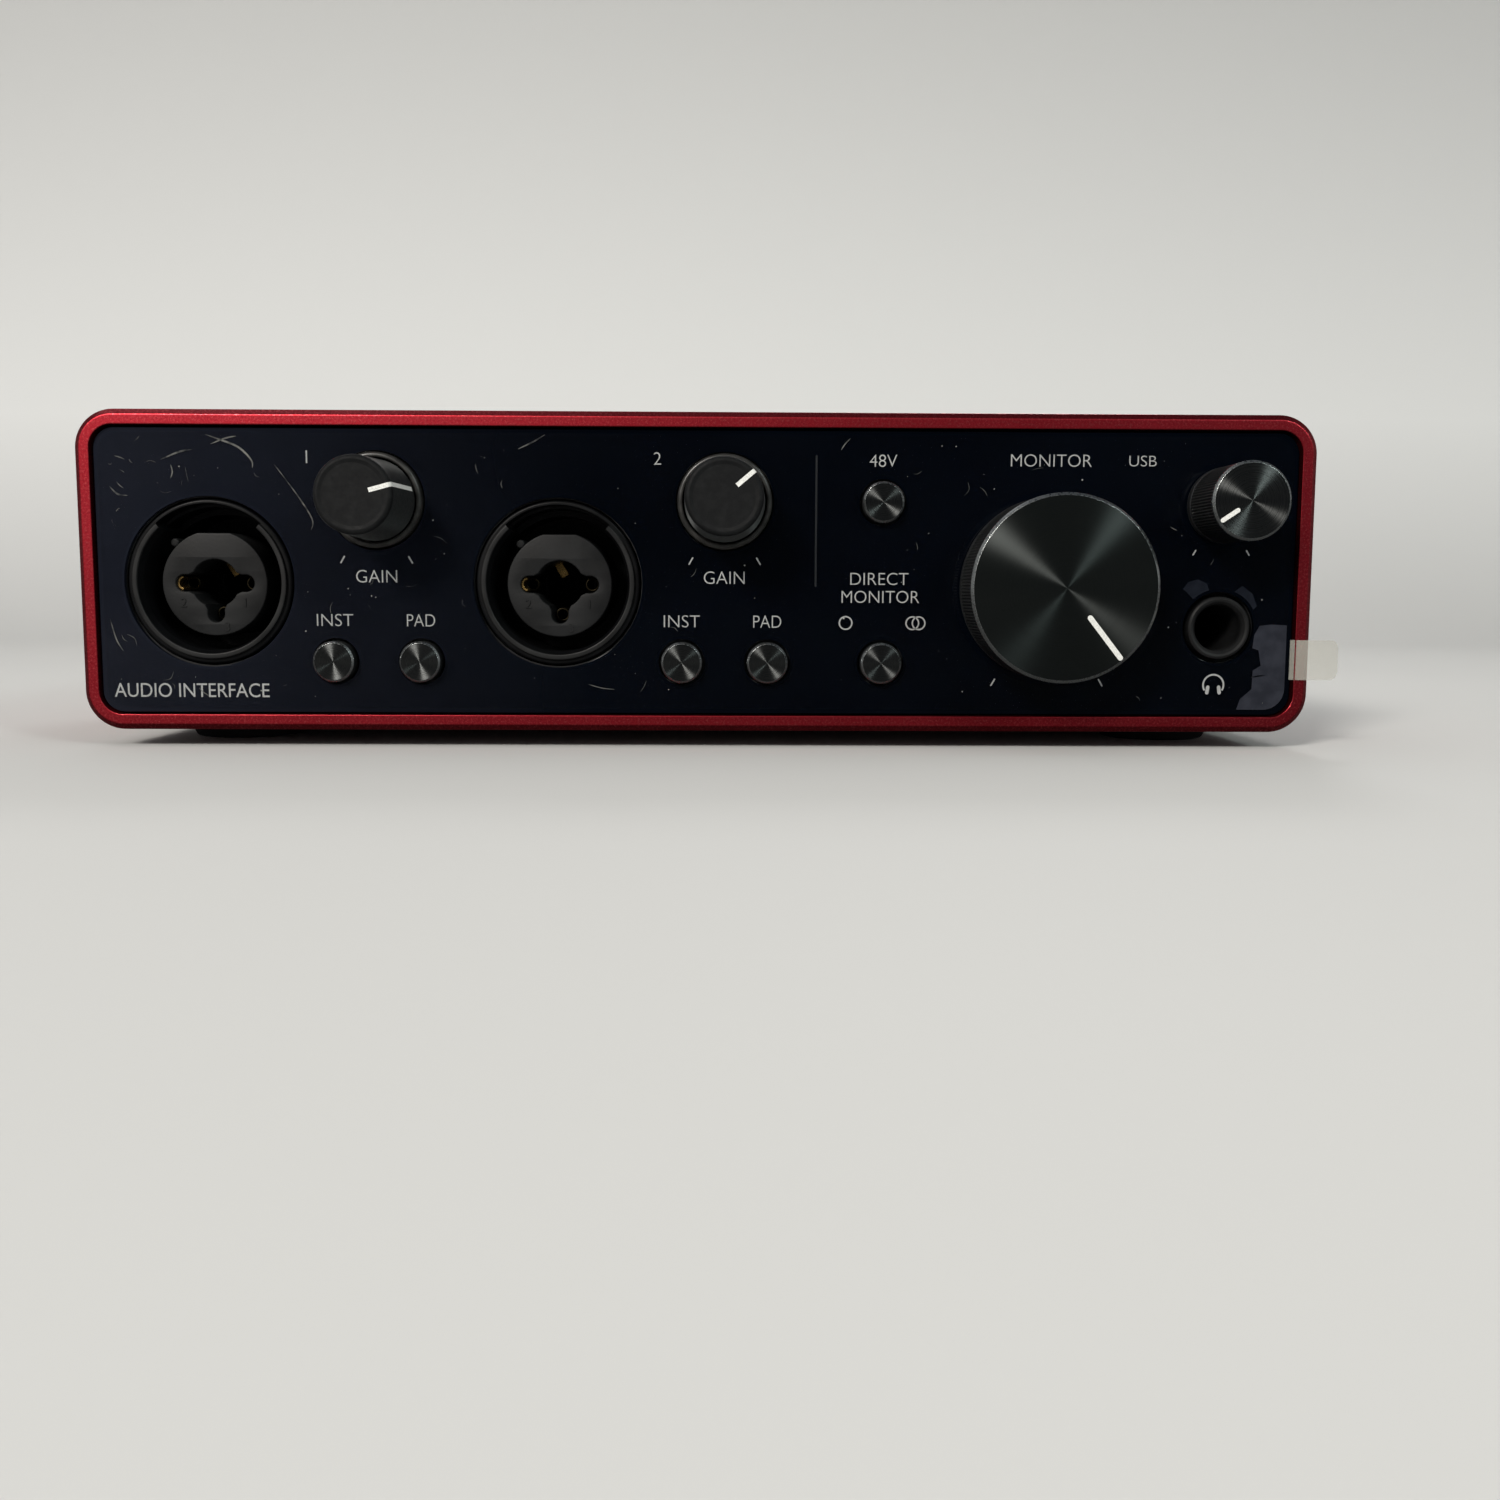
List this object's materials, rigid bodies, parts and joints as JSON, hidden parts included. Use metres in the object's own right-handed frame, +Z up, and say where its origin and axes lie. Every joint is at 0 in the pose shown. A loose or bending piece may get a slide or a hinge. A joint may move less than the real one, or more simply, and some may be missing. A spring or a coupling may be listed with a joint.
{
  "type": "audio interface",
  "caption": "Desktop USB audio interface: slim red metal case, black front with combination microphone sockets, knobs, push buttons and headphone jack.",
  "frame": {"origin": "on the surface the feet stand on, at the middle of the overall width and depth, knobs and rear nuts included", "axes": "+X to the right as seen from the front, +Y from the front to the back, +Z up"},
  "size_m": [0.175, 0.099, 0.0475],
  "materials": {
    "case_anodised": "red anodised, fine bead-blasted satin with a slight sparkle",
    "panel_black": "moulded black, fine texture",
    "overlay_gloss": "glossy near-black navy with light grey printing",
    "rubber": "matt black",
    "socket_plastic": "black glass-filled nylon, satin",
    "halo_smoke": "smoked translucent",
    "knob_soft": "dark grey soft-touch, white pointer",
    "knob_spun": "black anodised, spun face, knurled side",
    "button_spun": "black anodised, spun face",
    "steel": "plain",
    "black_steel": "black zinc",
    "gold": "gold plated",
    "board": "green solder mask",
    "component": "black moulded",
    "ribbon": "off-white"
  },
  "bodies": {
    "chassis": {"case_shell": "case_anodised", "front_overlay": "overlay_gloss", "front_panel": "panel_black", "rear_panel": "panel_black", "front_board": "board", "main_board": "board", "foot_front_left": "rubber", "foot_front_right": "rubber", "foot_rear_left": "rubber", "foot_rear_right": "rubber", "combo_socket_housing_1": "socket_plastic", "combo_socket_core_1": "socket_plastic", "jack_tip_spring_1": "gold", "gain_halo_1": "halo_smoke", "combo_socket_housing_2": "socket_plastic", "combo_socket_core_2": "socket_plastic", "jack_tip_spring_2": "gold", "gain_halo_2": "halo_smoke", "gain_1_pot": "component", "gain_2_pot": "component", "monitor_pot": "component", "phones_pot": "component", "instrument_1_switch": "component", "pad_1_switch": "component", "instrument_2_switch": "component", "pad_2_switch": "component", "phantom_switch": "component", "direct_monitor_switch": "component", "phones_jack": "socket_plastic", "line_output_jack_right": "socket_plastic", "line_output_nut_right": "black_steel", "line_output_jack_left": "socket_plastic", "line_output_nut_left": "black_steel", "usb_c_shell": "steel", "usb_c_tongue": "component", "rear_screw_lower_left": "black_steel", "rear_screw_lower_right": "black_steel", "rear_screw_upper_left": "black_steel", "rear_screw_upper_right": "black_steel", "lock_plate": "black_steel", "ribbon_socket_front": "ribbon", "ribbon_socket_main": "ribbon", "ribbon_cable": "ribbon", "usb_controller_chip": "component", "converter_chip": "component", "reservoir_capacitor": "black_steel"},
    "gain_1_knob": {"gain_1_knob": "knob_soft", "gain_1_shaft": "steel"},
    "gain_2_knob": {"gain_2_knob": "knob_soft", "gain_2_shaft": "steel"},
    "monitor_knob": {"monitor_knob": "knob_spun", "monitor_shaft": "steel"},
    "phones_knob": {"phones_knob": "knob_spun", "phones_shaft": "steel"},
    "instrument_1_button": {"instrument_1_button": "button_spun"},
    "pad_1_button": {"pad_1_button": "button_spun"},
    "instrument_2_button": {"instrument_2_button": "button_spun"},
    "pad_2_button": {"pad_2_button": "button_spun"},
    "phantom_button": {"phantom_button": "button_spun"},
    "direct_monitor_button": {"direct_monitor_button": "button_spun"}
  },
  "joints": [
    {"name": "gain_1_turn", "type": "hinge", "parent": "chassis", "child": "gain_1_knob", "pos_m": [-0.0457, -0.0377, 0.035], "axis": [0, 1, 0], "range_deg": [-225, 75]},
    {"name": "gain_2_turn", "type": "hinge", "parent": "chassis", "child": "gain_2_knob", "pos_m": [0.0036, -0.0377, 0.035], "axis": [0, 1, 0], "range_deg": [-200, 100]},
    {"name": "monitor_turn", "type": "hinge", "parent": "chassis", "child": "monitor_knob", "pos_m": [0.0499, -0.0377, 0.023], "axis": [0, 1, 0], "range_deg": [-291, 9]},
    {"name": "phones_turn", "type": "hinge", "parent": "chassis", "child": "phones_knob", "pos_m": [0.0744, -0.0377, 0.0348], "axis": [0, 1, 0], "range_deg": [-26, 274]},
    {"name": "instrument_1_press", "type": "slide", "parent": "chassis", "child": "instrument_1_button", "axis": [0, 1, 0], "range_m": [0, 0.0008], "stiffness_N_per_m": 600, "springref_m": -0.001},
    {"name": "pad_1_press", "type": "slide", "parent": "chassis", "child": "pad_1_button", "axis": [0, 1, 0], "range_m": [0, 0.0008], "stiffness_N_per_m": 600, "springref_m": -0.001},
    {"name": "instrument_2_press", "type": "slide", "parent": "chassis", "child": "instrument_2_button", "axis": [0, 1, 0], "range_m": [0, 0.0008], "stiffness_N_per_m": 600, "springref_m": -0.001},
    {"name": "pad_2_press", "type": "slide", "parent": "chassis", "child": "pad_2_button", "axis": [0, 1, 0], "range_m": [0, 0.0008], "stiffness_N_per_m": 600, "springref_m": -0.001},
    {"name": "phantom_press", "type": "slide", "parent": "chassis", "child": "phantom_button", "axis": [0, 1, 0], "range_m": [0, 0.0008], "stiffness_N_per_m": 600, "springref_m": -0.001},
    {"name": "direct_monitor_press", "type": "slide", "parent": "chassis", "child": "direct_monitor_button", "axis": [0, 1, 0], "range_m": [0, 0.0008], "stiffness_N_per_m": 600, "springref_m": -0.001}
  ]
}
